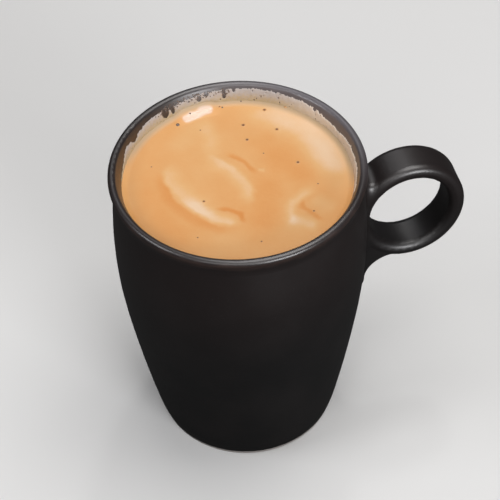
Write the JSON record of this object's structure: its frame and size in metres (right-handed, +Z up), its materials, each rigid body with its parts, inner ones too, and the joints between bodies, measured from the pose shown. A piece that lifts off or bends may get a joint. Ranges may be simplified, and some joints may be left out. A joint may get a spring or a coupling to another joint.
{
  "type": "cup of espresso",
  "caption": "Barrel-shaped dark stoneware mug with a flared lip and a ring-shaped strap handle, filled nearly to the brim with espresso under its crema.",
  "frame": {"origin": "middle of the foot, on the plane that the mug stands on", "axes": "+Z up along the mug's axis, +X out through the handle"},
  "size_m": [0.1164, 0.0822, 0.1105],
  "materials": {
    "mug_glaze": "satin",
    "crema": "satin"
  },
  "bodies": {
    "root": {"mug": "mug_glaze", "espresso": "crema"}
  },
  "joints": []
}
